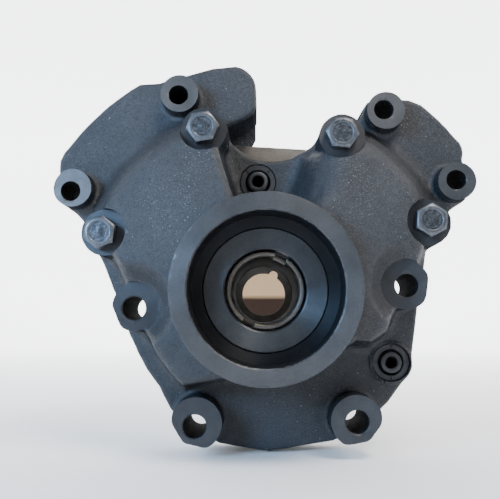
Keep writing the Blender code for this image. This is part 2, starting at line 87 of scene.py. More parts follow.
# Lower bosses: hole, centre of the boss, its radius, and flats as (direction in degrees, reach)
LOW_BOSSES = (
    ((-72.0, -9.8), (-72.0, -9.3), 13.0, ((203.0, 10.5), (160.0, 12.4))),
    ((77.2, 2.6), (77.0, 2.8), 13.2, ((-8.0, 11.3),)),
    ((-38.4, -73.6), (-37.7, -72.0), 14.1, ((210.6, 9.8), (257.6, 9.9), (174.0, 13.2))),
    ((49.5, -71.1), (49.3, -70.7), 14.1, ((-38.0, 11.0), (-79.0, 10.9), (-1.0, 13.4))),
)
LOW_HOLE_R = 6.4
SPOT_FACE_R = 14.2
COVER_BOLTS = ((-34.4, 89.1), (-89.7, 31.3), (41.9, 85.4), (89.3, 37.5))
PADS = ((-34.1, 88.8), (-88.5, 31.6), (42.6, 84.9), (88.9, 36.8))
BOLT_TURNS = (8.0, 22.0, -6.0, 27.0)
BOLT_FLATS = 16.0
BOLT_HEAD = 7.1
DOWELS = ((-4.0, 64.8, SADDLE_FACE), (71.8, -40.6, FLANGE_FACE))
DOWEL_R = 6.1
DOWEL_SEAT_R = 10.9
SUCTION = ((-37.0, 44.0), (-57.0, 78.5), (-41.8, 100.0), (-22.0, 113.5))
SUCTION_R = 11.0
PRESSURE = ((37.0, 48.0), (62.0, 65.0), (89.0, 83.0))
PRESSURE_R = 10.0
PORT_SEAL_R = 13.1
COVER_FRONT = 68.3
COVER_STEP = 86.0
COVER_R = 107.0
SPIGOT_R = 40.0
SPIGOT_GROOVE = 97.0
SLEEVE_R = 21.6
SLEEVE_BORE_R = 18.5
SLEEVE_FRONT = 26.0
SLEEVE_BACK = 95.0
# A cut that is open at the front starts before everything; one open at the back runs past its face.
OPEN_FRONT = -30.0
PAST_JOINT = JOINT + 5.0
PAST_END = REAR_END + 5.0
# Oil ways: from, to, half width, front depth, back depth
OIL_WAYS = (
    (SUCTION[0], SUCTION[1], 8.0, 52.0, PAST_JOINT),
    (SUCTION[1], SUCTION[2], 5.0, 52.5, JOINT - 4.0),
    (SUCTION[2], SUCTION[3], 4.5, 53.0, JOINT - 4.0),
    (PRESSURE[0], PRESSURE[1], 8.4, 52.0, PAST_JOINT),
    (PRESSURE[1], PRESSURE[2], 7.0, 52.5, JOINT - 4.0),
)


def arc(cx, cz, radius, start, end, steps):
    angles = np.radians(np.linspace(start, end, steps + 1))
    return [(cx + radius * math.cos(a), cz + radius * math.sin(a)) for a in angles]


# ---------------------------------------------------------------- outlines of the castings
def flange_outline():
    right = [(92.5, 40), (92.3, 19), (91.5, 8), (88, -8), (87.2, -15), (85.2, -29.4), (84.2, -37)]
    right += [(82.9, -44.9), (78.9, -51.3), (69.8, -63.4), (60, -73), (38.6, -84.8)]
    low = [(23.5, -87.3), (9.2, -89.7), (2.1, -90.7), (-12.2, -88.7), (-26, -86.3), (-36, -82)]
    left = [(-50, -72), (-54.3, -66.8), (-57.7, -60.5), (-60.8, -54.5), (-68, -45), (-73.5, -34.8)]
    left += [(-78.5, -24.3), (-83, -10), (-88.1, 1.5), (-92.5, 12.6), (-95.4, 18.7), (-97, 24)]
    bowl = [(-90, 52), (-60, 84), (-24, 92), (-19.5, 88.2), (-14.7, 84.1), (-10, 80.8), (-4.7, 78.6)]
    bowl += [(0.6, 77.5), (5.9, 77.4), (11.2, 77.9), (16.5, 79.4), (21.8, 82.1), (27.2, 85.3)]
    return right + low + left + bowl + [(32.5, 90), (60, 90), (86, 62)]


def lobe_tip():
    slope = [(-45.8, 126.8), (-37.5, 129.2), (-30.3, 131.1)]
    return slope + arc(-19.3, 118.6, 14.0, 80, 0, 6) + [(-5.4, 107.5), (-7, 103.8), (-11.5, 100.6)]


def left_wing_outline():
    points = [(-78, 27), (-96, 27.5), (-104.8, 40.2), (-112, 48), (-119.4, 60), (-119.8, 71.1)]
    points += [(-119.5, 76.3), (-117.5, 80.9)] + arc(0, 0, WING_R, 143, 121, 8)
    points += [(-62, 122.6), (-54, 125)] + lobe_tip()
    return points + [(-22, 95.8), (-22, 84), (-40, 66)]


def right_wing_outline():
    points = [(42, 62), (32.5, 80), (40.5, 89.5), (54.4, 98.8), (57, 104), (60, 110), (66, 112.2)]
    points += [(80, 112.2), (84.4, 111.8)] + arc(0, 0, WING_R, 50, 39, 4)
    points += [(113.4, 86.4), (114.8, 83.3), (115.2, 79.8), (114.6, 76.4), (117, 62), (115, 53.1)]
    return points + [(106.4, 46.3), (99, 27), (80, 24)]


def lobe_outline():
    return [(-60, 104), (-60, 120.5)] + lobe_tip() + [(-22.5, 96.3), (-36, 98)]


def dome_rim():
    points = arc(0, 0, DOME_R, 110, 160, 8) + [(-80, 16), (-72, 2), (-66.5, -14)]
    points += arc(0, 0, 67.0, -160, -131, 4) + [(-23, -47), (0, -46), (30, -38), (47.5, -27)]
    points += [(56, -27.5), (64, -22), (68.5, -10), (76, 6), (84, 22)]
    return points + arc(0, 0, DOME_R, 24, 62, 7) + [(34, 74), (24, 46), (-16, 46), (-26.5, 78)]


def dome_foot():
    points = arc(0, 0, 119.0, 112, 157, 8) + [(-87.5, 12), (-82, -3), (-75, -22)]
    points += arc(0, 0, 73.0, -155, -129, 4) + [(-18, -48), (0, -46.5), (30, -38.5), (46, -33)]
    points += [(59, -34), (70, -27), (77, -14), (88, 6), (92, 18)]
    return points + arc(0, 0, 119.0, 27, 59, 7) + [(20, 80), (8, 48), (-13, 46), (-23, 80)]


def cover_outline():
    points = arc(0, 0, COVER_R, 105, 161, 9) + [(-88, 20), (-70, 12)]
    points += arc(0, -RING_DROP, 61.5, 160, 380, 24) + [(72, 20), (90, 25)]
    return points + arc(0, 0, COVER_R, 18, 66, 8) + [(28, 90.4), (-19.5, 93.4)]


class Outline:
    """Signed distance to a closed outline across the drive axis, read from a fine grid."""

    STEP = 0.6
    MARGIN = 12.0

    def __init__(self, corners):
        start = np.array(corners, dtype=np.float64)
        end = np.roll(start, -1, axis=0)
        self.low = start.min(axis=0) - self.MARGIN
        self.size = ((start.max(axis=0) + self.MARGIN - self.low) / self.STEP).astype(int) + 2
        x = self.low[0] + self.STEP * np.arange(self.size[0])[:, None]
        z = self.low[1] + self.STEP * np.arange(self.size[1])[None, :]
        nearest = np.full(self.size, np.inf)
        inside = np.zeros(self.size, dtype=bool)
        for (ax, az), (bx, bz) in zip(start, end):
            ex, ez = bx - ax, bz - az
            wx, wz = x - ax, z - az
            t = np.clip((wx * ex + wz * ez) / (ex * ex + ez * ez), 0, 1)
            nearest = np.minimum(nearest, (wx - t * ex) ** 2 + (wz - t * ez) ** 2)
            if ez:
                inside ^= ((az > z) != (bz > z)) & (wx < wz * ex / ez)
        self.values = (np.sqrt(nearest) * np.where(inside, -1, 1)).astype(np.float32)

    def __call__(self, x, z):
        i = np.clip((x - self.low[0]) / self.STEP, 0, self.size[0] - 1.001)
        j = np.clip((z - self.low[1]) / self.STEP, 0, self.size[1] - 1.001)
        i0, j0 = i.astype(int), j.astype(int)
        u, v = (i - i0).astype(np.float32), (j - j0).astype(np.float32)
        near = self.values[i0, j0] * (1 - u) + self.values[i0 + 1, j0] * u
        far = self.values[i0, j0 + 1] * (1 - u) + self.values[i0 + 1, j0 + 1] * u
        return near * (1 - v) + far * v


# ---------------------------------------------------------------- solids as distance fields
def blend_union(a, b, k):
    """The union of two fields with a fillet about k wide where they meet."""
    near = np.maximum(k - np.abs(a - b), 0) / k
    return np.minimum(a, b) - near * near * k * 0.25


def blend_cut(a, b, k):
    """What two fields share, with the edge where they meet rounded about k wide."""
    return -blend_union(-a, -b, k)


def disc(x, z, cx, cz, radius):
    return np.hypot(x - cx, z - cz) - radius


def capsule(x, z, start, end, radius):
    ex, ez = end[0] - start[0], end[1] - start[1]
    t = np.clip(((x - start[0]) * ex + (z - start[1]) * ez) / (ex * ex + ez * ez), 0, 1)
    return np.hypot(x - start[0] - t * ex, z - start[1] - t * ez) - radius


def extrude(section, d, front, back, rounding=0.0):
    """A section between two depths, its edges rounded."""
    a = section + rounding
    b = np.maximum(front - d, d - back) + rounding
    if np.isscalar(rounding) and not rounding:
        return np.maximum(a, b)
    outside = np.hypot(np.maximum(a, 0), np.maximum(b, 0))
    return np.minimum(np.maximum(a, b), 0) + outside - rounding


def cut(body, tool):
    return np.maximum(body, -tool)


def unevenness(x, z, d):
    """Slow waves of a tenth of a millimetre, as a sand mould leaves them."""
    a = np.sin(0.23 * x + 1.3 * np.sin(0.11 * z + 0.5)) * np.sin(0.19 * z + 0.17 * d)
    b = np.sin(0.41 * z - 0.33 * x + 0.9) * np.sin(0.37 * d + 0.29 * x)
    return 0.09 * a + 0.05 * b


OUTLINES = {
    "flange": Outline(flange_outline()),
    "left_wing": Outline(left_wing_outline()),
    "right_wing": Outline(right_wing_outline()),
    "lobe": Outline(lobe_outline()),
    "rim": Outline(dome_rim()),
    "foot": Outline(dome_foot()),
    "cover": Outline(cover_outline()),
}


def low_boss_section(x, z, boss):
    """A boss with the flats that its own outline has on the casting's outer side."""
    hole, centre, radius, flats = boss
    section = disc(x, z, *centre, radius)
    for direction, reach in flats:
        a = math.radians(direction)
        flat = (x - hole[0]) * math.cos(a) + (z - hole[1]) * math.sin(a) - reach
        section = blend_cut(section, flat, 1.6)
    return section


def casting(x, z, d):
    """The housing as it leaves the mould, with cast fillets."""
    skin = 0.02 * (FLANGE_FACE - d)
    level = (SADDLE_FACE - FLANGE_FACE) * np.clip((z - 40) / 14, 0, 1)
    body = extrude(OUTLINES["flange"](x, z) + skin, d - level, FLANGE_FACE, JOINT + 6, 2.0)
    wings = np.minimum(OUTLINES["left_wing"](x, z), OUTLINES["right_wing"](x, z)) + skin
    body = blend_union(body, extrude(wings, d, WING_FACE, JOINT + 6, 2.4), 3.0)
    radius = np.hypot(x, z)
    t = np.clip((d - DOME_RIM) / (DOME_FOOT - DOME_RIM), 0, 1)
    dome = OUTLINES["rim"](x, z) * (1 - t) + OUTLINES["foot"](x, z) * t
    face = DOME_FACE + (DOME_RIM - DOME_FACE) * np.clip((radius - 48) / (DOME_R - 48), 0, 1.2)
    for _, (cx, cz), _, _ in LOW_BOSSES[:2]:
        near = np.clip(1 - (np.hypot(x - cx, z - cz) - 13) / 12, 0, 1)
        near = near * near * (3 - 2 * near)
        face = face + np.maximum(LOW_BOSS_FACE - 1.6 - face, 0) * near
    near_saddle = np.clip((x - 2) / 10, 0, 1) * np.clip((62 - x) / 20, 0, 1)
    rounding = 4.0 + 9.0 * near_saddle * np.clip((z - 36) / 14, 0, 1)
    body = blend_union(body, extrude(dome * 0.9, d - face, 0.0, 52.0, rounding), 5.0)
    for cx, cz in WING_BOSSES:
        section = disc(x, z, cx, cz, WING_BOSS_R) + 0.012 * (40 - d)
        body = blend_union(body, extrude(section, d, WING_BOSS_FACE, JOINT), 3.2)
    for boss in LOW_BOSSES:
        section = low_boss_section(x, z, boss)
        body = blend_union(body, extrude(section, d, LOW_BOSS_FACE, JOINT), 3.0)
    for cx, cz in PADS:
        body = blend_union(body, extrude(disc(x, z, cx, cz, PAD_R), d, PAD_FACE, JOINT), 2.6)
    cx, cz, face = DOWELS[1]
    body = blend_union(body, extrude(disc(x, z, cx, cz, 12.0), d, face - 1.5, JOINT, 1.0), 2.0)
    return body + unevenness(x, z, d)


def drilled(body, x, z, d, cx, cz, radius, front, back, chamfer=0.5):
    """The body with a hole that has a small chamfer at its front edge."""
    flare = np.maximum(chamfer - np.abs(d - front), 0)
    return cut(body, extrude(disc(x, z, cx, cz, radius) - flare, d, front + OPEN_FRONT, back))


def housing(x, z, d):
    """The machined housing."""
    body = np.maximum(casting(x, z, d), d - JOINT)
    lobe = extrude(OUTLINES["lobe"](x, z), d, WING_FACE + 0.8, REAR_END + 8, 2.4)
    body = blend_union(body, np.maximum(lobe, d - REAR_END), 1.5)
    ring = extrude(disc(x, z, 0, 0, RING_R), d, 0.0, CHAMBER_FRONT, 0.5)
    body = blend_union(body, ring, 0.8)
    for _, (cx, cz), _, _ in LOW_BOSSES[:2]:
        spot_face = disc(x, z, cx, cz, SPOT_FACE_R)
        body = cut(body, extrude(spot_face, d, OPEN_FRONT, LOW_BOSS_FACE, 0.5))
    for cx, cz in PADS:
        body = cut(body, extrude(disc(x, z, cx, cz, PAD_R + 0.5), d, OPEN_FRONT, PAD_FACE, 0.5))
    for cx, cz in COVER_BOLTS:
        body = drilled(body, x, z, d, cx, cz, M10_HOLE_R, PAD_FACE, PAST_JOINT)
    for cx, cz in WING_HOLES:
        body = drilled(body, x, z, d, cx, cz, M10_HOLE_R, WING_BOSS_FACE, PAST_END)
    for (cx, cz), _, _, _ in LOW_BOSSES:
        body = drilled(body, x, z, d, cx, cz, LOW_HOLE_R, LOW_BOSS_FACE, PAST_JOINT, 0.7)
    for cx, cz, face in DOWELS:
        body = cut(body, extrude(disc(x, z, cx, cz, DOWEL_SEAT_R), d, face - 12, face + 1.6))
        body = cut(body, extrude(disc(x, z, cx, cz, DOWEL_R + 1.1), d, face - 12, PAST_JOINT))
    radius = np.hypot(x, z)
    seat = radius - SEAL_BORE_R - np.maximum(0.9 - d, 0)
    floor = SEAL_FLOOR + 0.1 * (SEAL_BORE_R - radius)
    body = cut(body, np.maximum(seat, d - floor))
    body = cut(body, extrude(radius - BEARING_R, d, 8, BEARING_BACK))
    body = cut(body, extrude(radius - WEB_R, d, 8, JOINT))
    body = cut(body, extrude(disc(x, z, 0, -RING_DROP, CHAMBER_R), d, CHAMBER_FRONT, PAST_JOINT))
    for start, end, half_width, front, back in OIL_WAYS:
        body = cut(body, extrude(capsule(x, z, start, end, half_width), d, front, back))
    body = cut(body, extrude(disc(x, z, *SUCTION[3], SUCTION_R), d, 50, PAST_END))
    body = cut(body, extrude(disc(x, z, *PRESSURE[2], PRESSURE_R), d, 50, PAST_JOINT))
    groove = np.abs(disc(x, z, *PRESSURE[2], PORT_SEAL_R)) - 1.5
    return cut(body, extrude(groove, d, JOINT - 1.8, PAST_JOINT))


def rear_cover(x, z, d):
    """The rear cover: a cast plate with a turned spigot."""
    outline = OUTLINES["cover"](x, z) + 0.02 * (d - COVER_FRONT)
    body = extrude(outline, d, COVER_FRONT - 8, COVER_STEP, 2.4) + 0.6 * unevenness(x, z, d)
    body = np.maximum(body, COVER_FRONT - d)
    radius = np.hypot(x, z)
    body = blend_union(body, extrude(radius - SPIGOT_R, d, COVER_STEP - 4, REAR_END, 0.6), 2.0)
    room_for_lobe = capsule(x, z, (-19, 108.5), (-50, 111.5), 14.2)
    body = cut(body, extrude(room_for_lobe, d, 60, REAR_END))
    for cx, cz in WING_BOSSES:
        body = cut(body, extrude(disc(x, z, cx, cz, 13.0), d, 60, REAR_END))
    body = cut(body, extrude(radius - 25.8, d, 60, 98))
    notch = capsule(x, z, (3.2, 8.5), (6.6, 13.2), 2.9)
    opening = np.minimum(radius - 14.4, notch)
    body = cut(body, extrude(opening, d, 90, PAST_END))
    groove = np.abs(radius - SPIGOT_R) - 2.6
    body = cut(body, np.maximum(groove, np.abs(d - SPIGOT_GROOVE) - 1.5))
    for cx, cz in COVER_BOLTS:
        body = cut(body, extrude(disc(x, z, cx, cz, 5.3), d, 60, 82.5))
    cx, cz, _ = DOWELS[0]
    return cut(body, extrude(disc(x, z, cx, cz, 6.4), d, 60, REAR_END))


# ---------------------------------------------------------------- meshing a field
def grid_crossings(values, axis):
    """Grid edges along one axis whose two ends lie on different sides of the surface."""
    low = [slice(None)] * 3
    high = [slice(None)] * 3
    low[axis], high[axis] = slice(None, -1), slice(1, None)
    a, b = values[tuple(low)], values[tuple(high)]
    index = np.argwhere((a < 0) != (b < 0))
    start, end = a[tuple(index.T)], b[tuple(index.T)]
    return index, start, end


def surface_of(field, low, high, step):
    """Dual contouring: corners (mm) and quads of the field's zero surface, sharp edges kept."""
    low = np.array(low, dtype=np.float64)
    counts = np.ceil((np.array(high) - low) / step).astype(int) + 1
    x, z, d = (low[k] + step * np.arange(counts[k]) for k in range(3))
    x, z, d = (v.astype(np.float32) for v in (x, z, d))
    values = field(x[:, None, None], z[None, :, None], d[None, None, :])
    values = np.broadcast_to(values, counts)
    points, cells, flips = [], [], []
    around = ((0, 0), (-1, 0), (-1, -1), (0, -1))
    for axis in range(3):
        index, start, end = grid_crossings(values, axis)
        t = start / (start - end)
        place = low + step * index
        place[:, axis] += step * t
        error = field(*place.T)
        t = np.clip(t - error / (end - start), 0, 1)
        place[:, axis] = low[axis] + step * (index[:, axis] + t)
        points.append(place)
        others = [k for k in range(3) if k != axis]
        four = np.repeat(index[:, None, :], 4, axis=1)
        for corner, (p, q) in enumerate(around):
            four[:, corner, others[0]] += p
            four[:, corner, others[1]] += q
        cells.append(four)
        flips.append((start < 0) ^ (axis == 1))
    points, cells, flips = np.concatenate(points), np.concatenate(cells), np.concatenate(flips)
    ids = np.ravel_multi_index(cells.reshape(-1, 3).T, counts)
    used, inverse = np.unique(ids, return_inverse=True)
    inverse = inverse.reshape(-1, 4)
    return corners_of(field, points, inverse, used, counts, low, step), quads_of(inverse, flips)


def corners_of(field, points, inverse, used, counts, low, step):
    """One corner per cell: where the planes through its crossings meet, held inside the cell."""
    tiny = 0.02
    here = field(*points.T)
    normals = np.empty_like(points)
    for axis in range(3):
        moved = points.copy()
        moved[:, axis] += tiny
        normals[:, axis] = (field(*moved.T) - here) / tiny
    normals /= np.maximum(np.linalg.norm(normals, axis=1, keepdims=True), 1e-6)
    number = len(used)
    flat = inverse.reshape(-1)

    def gathered(quantity):
        return np.bincount(flat, weights=np.repeat(quantity, 4), minlength=number)

    share = gathered(np.ones(len(points)))
    middle = np.stack([gathered(points[:, k]) for k in range(3)], axis=1) / share[:, None]
    planes = np.empty((number, 3, 3))
    for i in range(3):
        for j in range(i, 3):
            planes[:, i, j] = planes[:, j, i] = gathered(normals[:, i] * normals[:, j])
    offset = np.einsum("ij,ij->i", normals, points)
    right = np.stack([gathered(normals[:, k] * offset) for k in range(3)], axis=1)
    right -= np.einsum("nij,nj->ni", planes, middle)
    planes += 0.04 * np.eye(3) * share[:, None, None] / 4
    corners = middle + np.linalg.solve(planes, right[:, :, None])[:, :, 0]
    base = low + step * np.stack(np.unravel_index(used, counts), axis=1)
    return np.clip(corners, base - 0.1 * step, base + 1.1 * step)


def quads_of(inverse, flips):
    return np.where(flips[:, None], inverse, inverse[:, ::-1])


def to_metres(corners):
    """From (x, z, depth) in millimetres to the frame's metres."""
    corners = np.asarray(corners, dtype=np.float64)
    return np.stack([corners[:, 0], corners[:, 2] - JOINT, corners[:, 1]], axis=1) * MM


def mesh_object(name, corners, faces):
    mesh = bpy.data.meshes.new(name)
    sides = len(faces[0])
    mesh.vertices.add(len(corners))
    mesh.vertices.foreach_set("co", to_metres(corners).astype(np.float32).ravel())
    mesh.loops.add(len(faces) * sides)
    mesh.loops.foreach_set("vertex_index", np.asarray(faces).astype(np.int32).ravel())
    mesh.polygons.add(len(faces))
    mesh.polygons.foreach_set("loop_start", np.arange(len(faces), dtype=np.int32) * sides)
    mesh.update(calc_edges=True)
    mesh.validate()
    thing = bpy.data.objects.new(name, mesh)
    bpy.context.scene.collection.objects.link(thing)
    return thing


def smooth(thing, degrees=38.0):
    thing.data.shade_smooth()
    thing.data.set_sharp_from_angle(angle=math.radians(degrees))


# ---------------------------------------------------------------- materials
class Shader:
    """A node material built by short calls; every pattern is set in metres on the object."""

    def __init__(self, name, colour, roughness, metallic):
        self.material = bpy.data.materials.new(name)
        self.material.use_nodes = True
        self.tree = self.material.node_tree
        self.surface = self.tree.nodes["Principled BSDF"]
        self.surface.inputs["Base Color"].default_value = (*colour, 1)
        self.surface.inputs["Roughness"].default_value = roughness
        self.surface.inputs["Metallic"].default_value = metallic
        self.place = self.add("ShaderNodeTexCoord").outputs["Object"]

    def add(self, kind, **settings):
        node = self.tree.nodes.new(kind)
        for key, value in settings.items():
            setattr(node, key, value)
        return node

    def link(self, source, target):
        self.tree.links.new(source, target)

    def noise(self, cells_per_metre, detail=3.0, rough=0.55):
        node = self.add("ShaderNodeTexNoise")
        node.inputs["Scale"].default_value = cells_per_metre
        node.inputs["Detail"].default_value = detail
        node.inputs["Roughness"].default_value = rough
        self.link(self.place, node.inputs["Vector"])
        return node.outputs["Fac"]

    def ramp(self, value, *stops):
        node = self.add("ShaderNodeValToRGB")
        while len(node.color_ramp.elements) < len(stops):
            node.color_ramp.elements.new(0.5)
        for element, (position, colour) in zip(node.color_ramp.elements, stops):
            element.position = position
            element.color = (*colour, 1)
        self.link(value, node.inputs["Fac"])
        return node.outputs["Color"]

    def greys(self, value, dark, light, low=0.3, high=0.7):
        return self.ramp(value, (low, (dark, dark, dark)), (high, (light, light, light)))

    def spread(self, value, low, high, to_low, to_high):
        node = self.add("ShaderNodeMapRange")
        names = ("From Min", "From Max", "To Min", "To Max")
        for name, number in zip(names, (low, high, to_low, to_high)):
            node.inputs[name].default_value = number
        self.link(value, node.inputs["Value"])
        return node.outputs["Result"]

    def mix(self, factor, a, b, blend="MIX"):
        node = self.add("ShaderNodeMix", data_type="RGBA", blend_type=blend)
        for name, value in (("Factor", factor), ("A", a), ("B", b)):
            socket = node.inputs[name]
            if isinstance(value, (int, float)):
                socket.default_value = value
            elif isinstance(value, tuple):
                socket.default_value = (*value, 1)
            else:
                self.link(value, socket)
        return node.outputs["Result"]

    def maths(self, operation, a, b=0.0):
        node = self.add("ShaderNodeMath", operation=operation)
        for socket, value in zip(node.inputs, (a, b)):
            if isinstance(value, (int, float)):
                socket.default_value = value
            else:
                self.link(value, socket)
        return node.outputs["Value"]

    def bump(self, height, distance, strength=1.0, under=None):
        node = self.add("ShaderNodeBump")
        node.inputs["Strength"].default_value = strength
        node.inputs["Distance"].default_value = distance
        self.link(height, node.inputs["Height"])
        if under:
            self.link(under, node.inputs["Normal"])
        self.link(node.outputs["Normal"], self.surface.inputs["Normal"])
        return node.outputs["Normal"]

    def edges(self, low, high):
        """0 on flats and in hollows, 1 on outer edges."""
        return self.spread(self.add("ShaderNodeNewGeometry").outputs["Pointiness"], low, high, 0.0, 1.0)

    def colour(self, output):
        self.link(output, self.surface.inputs["Base Color"])

    def roughness(self, output):
        self.link(output, self.surface.inputs["Roughness"])


def scaled(colour, factor):
    return tuple(min(1, part * factor) for part in colour)


def cast_iron():
    """Dark blue-grey casting: sand grain, fine bright dust, cloudy tone, side walls without shine."""
    s = Shader("cast_iron", (0.03, 0.035, 0.045), 0.55, 0.0)
    facing = s.add("ShaderNodeSeparateXYZ")
    s.link(s.add("ShaderNodeTexCoord").outputs["Normal"], facing.inputs["Vector"])
    shine = s.spread(s.maths("ABSOLUTE", facing.outputs["Y"]), 0.2, 0.65, 0.0, 0.4)
    s.link(shine, s.surface.inputs["Specular IOR Level"])
    clouds = s.noise(26, 4, 0.62)
    tone = s.ramp(clouds, (0.3, (0.0185, 0.0203, 0.0235)), (0.7, (0.032, 0.0345, 0.0385)))
    grain = s.noise(1150, 3, 0.7)
    tone = s.mix(0.95, tone, s.ramp(grain, (0.32, (0.2, 0.2, 0.21)), (0.7, (0.8, 0.8, 0.8))), "OVERLAY")
    patches = s.spread(s.noise(34, 3), 0.42, 0.66, 0.0, 1.0)
    dust = s.greys(s.noise(1500, 2, 0.5), 0, 1, 0.64, 0.73)
    dust = s.maths("MULTIPLY", s.maths("MULTIPLY", dust, patches), 0.7)
    tone = s.mix(dust, tone, (0.3, 0.31, 0.32))
    specks = s.greys(s.noise(820, 2, 0.5), 0, 1, 0.735, 0.765)
    tone = s.mix(s.maths("MULTIPLY", specks, 0.5), tone, (0.42, 0.43, 0.45))
    # Paler outer edges: edge wear together with a painted highlight along the edges.
    tone = s.mix(s.maths("MULTIPLY", s.edges(0.52, 0.57), 0.22), tone, (0.15, 0.165, 0.18))
    s.colour(tone)
    s.roughness(s.spread(s.noise(300, 3), 0.3, 0.7, 0.46, 0.64))
    coarse = s.bump(s.noise(330, 4, 0.65), 0.0006, 0.8)
    s.bump(grain, 0.0004, 0.9, coarse)
    return s.material


def turned_face(name, colour, roughness, metallic, lines, stretch=0.6):
    """A machined face: faint rings left by the tool, which stretch highlights across them."""
    s = Shader(name, colour, roughness, metallic)
    split = s.add("ShaderNodeSeparateXYZ")
    s.link(s.place, split.inputs["Vector"])
    x, z = split.outputs["X"], split.outputs["Z"]
    radius = s.maths("SQRT", s.maths("ADD", s.maths("MULTIPLY", x, x), s.maths("MULTIPLY", z, z)))
    across = s.add("ShaderNodeCombineXYZ")
    s.link(x, across.inputs["X"])
    s.link(z, across.inputs["Z"])
    turn = s.add("ShaderNodeVectorTransform", convert_from="OBJECT", convert_to="WORLD")
    s.link(across.outputs["Vector"], turn.inputs["Vector"])
    unit = s.add("ShaderNodeVectorMath", operation="NORMALIZE")
    s.link(turn.outputs["Vector"], unit.inputs[0])
    s.link(unit.outputs["Vector"], s.surface.inputs["Tangent"])
    s.surface.inputs["Anisotropic"].default_value = stretch
    ring = s.add("ShaderNodeTexNoise", noise_dimensions="1D")
    ring.inputs["Scale"].default_value = 2600
    ring.inputs["Detail"].default_value = 2.0
    s.link(radius, ring.inputs["W"])
    rings = ring.outputs["Fac"]
    smudge = s.noise(55, 4, 0.6)
    tone = s.ramp(smudge, (0.3, scaled(colour, 0.78)), (0.7, scaled(colour, 1.2)))
    tone = s.mix(lines * 0.5, tone, s.greys(rings, 0.3, 0.7), "OVERLAY")
    fine = s.noise(1300, 3, 0.6)
    tone = s.mix(0.35, tone, s.greys(fine, 0.32, 0.68), "OVERLAY")
    s.colour(tone)
    s.roughness(s.spread(s.noise(160, 3), 0.3, 0.7, roughness - 0.06, roughness + 0.07))
    under = s.bump(fine, 0.00003, 0.4)
    s.bump(rings, 0.00003, lines, under)
    return s.material


def plated_bolt(name, worn):
    """Zinc gone dark, with a pale bloom; worn is how bright the handled edges are."""
    s = Shader(name, (0.1, 0.11, 0.13), 0.4, 0.7)
    blotch = s.noise(420, 4, 0.7)
    dark, middle, light = (0.023, 0.026, 0.031), (0.055, 0.06, 0.068), (0.12, 0.128, 0.14)
    tone = s.ramp(blotch, (0.32, dark), (0.52, middle), (0.7, light))
    bloom = s.greys(s.noise(1400, 3, 0.6), 0, 1, 0.58, 0.68)
    tone = s.mix(s.maths("MULTIPLY", bloom, 0.35 + 0.3 * worn), tone, (0.26, 0.28, 0.31))
    s.colour(s.mix(0.5 * worn, tone, (0.2, 0.215, 0.24)))
    s.roughness(s.spread(blotch, 0.3, 0.7, 0.5, 0.32))
    s.bump(s.noise(900, 3, 0.7), 0.00014, 0.6)
    return s.material


def dull_wall(name, dark, light):
    """The oily wall of a hole, its colour painted near black as shade."""
    s = Shader(name, dark, 0.85, 0.0)
    s.surface.inputs["Specular IOR Level"].default_value = 0.02
    s.colour(s.ramp(s.noise(400, 3), (0.35, dark), (0.7, light)))
    s.roughness(s.spread(s.noise(600, 3), 0.3, 0.7, 0.75, 0.95))
    s.bump(s.noise(1500, 2), 0.00005, 0.5)
    return s.material


def plain_metal(name, dark, light, roughness, metallic, blotches=120):
    """Blotchy metal with paler outer edges; blotches is how many there are in a metre."""
    s = Shader(name, light, roughness, metallic)
    blotch = s.noise(blotches, 4, 0.6)
    tone = s.ramp(blotch, (0.3, dark), (0.7, light))
    worn = s.maths("MULTIPLY", s.edges(0.52, 0.6), 0.5)
    s.colour(s.mix(worn, tone, scaled(light, 1.8)))
    s.roughness(s.spread(blotch, 0.3, 0.7, roughness + 0.07, roughness - 0.06))
    s.bump(s.noise(1500, 2), 0.00003, 0.4)
    return s.material


def rubber():
    """Matt black rubber."""
    s = Shader("seal_rubber", (0.014, 0.014, 0.015), 0.6, 0.0)
    s.colour(s.ramp(s.noise(240, 3), (0.3, (0.01, 0.01, 0.011)), (0.7, (0.024, 0.024, 0.025))))
    s.roughness(s.spread(s.noise(500, 3), 0.3, 0.7, 0.5, 0.72))
    s.bump(s.noise(1800, 2), 0.00003, 0.5)
    return s.material


MATERIALS = {
    "cast": cast_iron(),
    "ring": turned_face("machined_ring", (0.07, 0.072, 0.076), 0.46, 0.6, 0.25),
    "boss": turned_face("machined_boss", (0.042, 0.045, 0.05), 0.47, 0.5, 0.2),
    # Brighter machined face: wear, together with painted light.
    "bright_boss": turned_face("worn_boss_painted_light", (0.1, 0.1, 0.102), 0.47, 0.5, 0.2),
    "bore": turned_face("dark_bore", (0.009, 0.0105, 0.013), 0.48, 0.6, 0.3, stretch=0.9),
    "rear": turned_face("milled_rear", (0.22, 0.205, 0.18), 0.42, 0.75, 0.35),
    "cover": plain_metal("cover_iron", (0.22, 0.2, 0.17), (0.36, 0.33, 0.28), 0.5, 0.5, 60),
    "bearing": turned_face("bearing_face", (0.066, 0.071, 0.078), 0.4, 0.85, 0.25, stretch=0.88),
    "sleeve": turned_face("sleeve_steel", (0.15, 0.135, 0.12), 0.34, 0.9, 0.4),
    "sleeve_edge": plain_metal("worn_sleeve_edge", (0.3, 0.27, 0.23), (0.5, 0.46, 0.4), 0.3, 1.0),
    # Oily bore walls, painted near black as shade.
    "oily_shaded_bore": dull_wall("oily_shaded_bore", (0.006, 0.005, 0.004), (0.016, 0.0135, 0.0105)),
    # Dark steel; on the bolt heads' side faces it is painted shade.
    "dark": plain_metal("dark_steel", (0.05, 0.055, 0.06), (0.11, 0.115, 0.125), 0.38, 0.85),
    "gear": plain_metal("gear_steel", (0.3, 0.3, 0.31), (0.46, 0.46, 0.47), 0.3, 1.0),
    "bronze": plain_metal("bearing_bronze", (0.3, 0.19, 0.09), (0.45, 0.3, 0.15), 0.36, 1.0),
    "bolt": plated_bolt("bolt_steel", 0.0),
    "bolt_edge": plated_bolt("worn_bolt_steel", 0.55),
    # Hole walls, painted near black as shade.
    "hole": dull_wall("hole_wall", (0.004, 0.004, 0.005), (0.014, 0.014, 0.015)),
    "rubber": rubber(),
}


